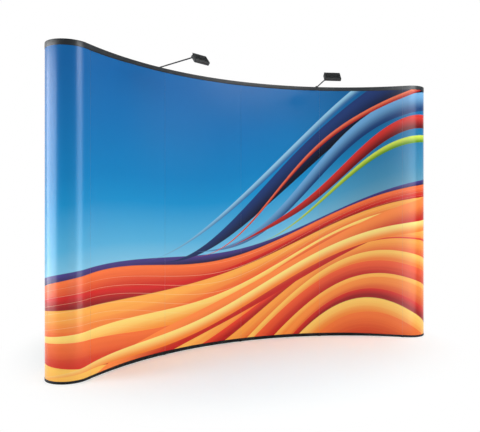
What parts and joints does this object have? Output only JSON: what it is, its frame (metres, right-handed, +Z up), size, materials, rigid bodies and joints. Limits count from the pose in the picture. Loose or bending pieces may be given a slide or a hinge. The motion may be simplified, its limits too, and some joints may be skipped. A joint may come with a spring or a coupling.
{
  "type": "pop up display backwall",
  "caption": "Curved free-standing exhibition backwall: folding scissor frame, magnetic channel bars, hanging graphic panels, wrap-round ends and two arm lamps.",
  "frame": {"origin": "underside of the front foot of the middle column, on the floor", "axes": "+Z up, +X along the wall to the viewer's right, +Y away from the viewer towards the frame's back"},
  "size_m": [3.271, 0.86, 2.259],
  "materials": {
    "hub_plastic": "moulded nylon, fine texture",
    "tube_alloy": "satin anodised tube",
    "post_alloy": "satin anodised post",
    "pin_steel": "plated steel",
    "bar_black": "black powder-coated channel",
    "strip_steel": "zinc-plated strip",
    "foot_rubber": "moulded rubber-faced pad",
    "print_gloss": "printed laminate with a satin-gloss film",
    "trim_grey": "satin extruded trim",
    "trim_black": "satin extruded trim",
    "magnet_tape": "flexible magnetic tape",
    "lamp_paint": "fine-textured powder coat",
    "lamp_glass": "clear toughened glass",
    "knob_plastic": "moulded knob"
  },
  "bodies": {
    "frame": {"front_hubs": "hub_plastic", "back_hubs": "hub_plastic", "hub_pins": "pin_steel", "tube_ends": "hub_plastic", "tube_rivets": "pin_steel", "bay_tubes_1": "tube_alloy", "bay_tubes_2": "tube_alloy", "bay_tubes_3": "tube_alloy", "bay_tubes_4": "tube_alloy", "column_tubes_1": "tube_alloy", "column_tubes_2": "tube_alloy", "column_tubes_3": "tube_alloy", "column_tubes_4": "tube_alloy", "column_tubes_5": "tube_alloy", "front_posts": "post_alloy", "back_posts": "post_alloy", "feet": "foot_rubber", "front_bar_1": "bar_black", "front_bar_2": "bar_black", "front_bar_3": "bar_black", "front_bar_4": "bar_black", "front_bar_5": "bar_black", "rear_bars": "bar_black", "bar_strips": "strip_steel", "left_lamp_clamp": "knob_plastic", "left_lamp_clamp_screw": "knob_plastic", "right_lamp_clamp": "knob_plastic", "right_lamp_clamp_screw": "knob_plastic"},
    "panel_1": {"panel_1_print": "print_gloss", "panel_1_top_rail": "trim_grey", "panel_1_foot_rail": "trim_black", "panel_1_tapes": "magnet_tape"},
    "panel_2": {"panel_2_print": "print_gloss", "panel_2_top_rail": "trim_grey", "panel_2_foot_rail": "trim_black", "panel_2_tapes": "magnet_tape"},
    "panel_3": {"panel_3_print": "print_gloss", "panel_3_top_rail": "trim_grey", "panel_3_foot_rail": "trim_black", "panel_3_tapes": "magnet_tape"},
    "panel_4": {"panel_4_print": "print_gloss", "panel_4_top_rail": "trim_grey", "panel_4_foot_rail": "trim_black", "panel_4_tapes": "magnet_tape"},
    "left_end_panel": {"left_end_print": "print_gloss", "left_end_top_rail": "trim_grey", "left_end_foot_rail": "trim_black", "left_end_tapes": "magnet_tape"},
    "right_end_panel": {"right_end_print": "print_gloss", "right_end_top_rail": "trim_grey", "right_end_foot_rail": "trim_black", "right_end_tapes": "magnet_tape"},
    "left_arm": {"left_lamp_arm": "lamp_paint"},
    "right_arm": {"right_lamp_arm": "lamp_paint"},
    "left_head": {"left_lamp_head": "lamp_paint", "left_lamp_glass": "lamp_glass", "left_lamp_tilt_screw": "knob_plastic"},
    "right_head": {"right_lamp_head": "lamp_paint", "right_lamp_glass": "lamp_glass", "right_lamp_tilt_screw": "knob_plastic"}
  },
  "joints": [
    {"name": "panel_1_pull", "type": "slide", "parent": "frame", "child": "panel_1", "axis": [0.4945, -0.8692, 0], "range_m": [0, 0.25]},
    {"name": "panel_2_pull", "type": "slide", "parent": "frame", "child": "panel_2", "axis": [0.1716, -0.9852, 0], "range_m": [0, 0.12]},
    {"name": "panel_3_pull", "type": "slide", "parent": "frame", "child": "panel_3", "axis": [-0.1716, -0.9852, 0], "range_m": [0, 0.25]},
    {"name": "panel_4_pull", "type": "slide", "parent": "frame", "child": "panel_4", "axis": [-0.4945, -0.8692, 0], "range_m": [0, 0.12]},
    {"name": "left_end_pull", "type": "slide", "parent": "frame", "child": "left_end_panel", "axis": [-0.7715, -0.6363, 0], "range_m": [0, 0.25]},
    {"name": "right_end_pull", "type": "slide", "parent": "frame", "child": "right_end_panel", "axis": [0.7715, -0.6363, 0], "range_m": [0, 0.25]},
    {"name": "left_arm_swing", "type": "hinge", "parent": "frame", "child": "left_arm", "pos_m": [-0.75218, -0.06299, 2.25], "axis": [0, 0, 1], "range_deg": [-30, 30]},
    {"name": "left_head_tilt", "type": "hinge", "parent": "left_arm", "child": "left_head", "pos_m": [-0.58789, -0.52038, 2.25], "axis": [0.9411, 0.338, 0], "range_deg": [-42, 38]},
    {"name": "right_arm_swing", "type": "hinge", "parent": "frame", "child": "right_arm", "pos_m": [0.75218, -0.06299, 2.25], "axis": [0, 0, 1], "range_deg": [-30, 30]},
    {"name": "right_head_tilt", "type": "hinge", "parent": "right_arm", "child": "right_head", "pos_m": [0.58789, -0.52038, 2.25], "axis": [0.9411, -0.338, 0], "range_deg": [-42, 38]}
  ]
}
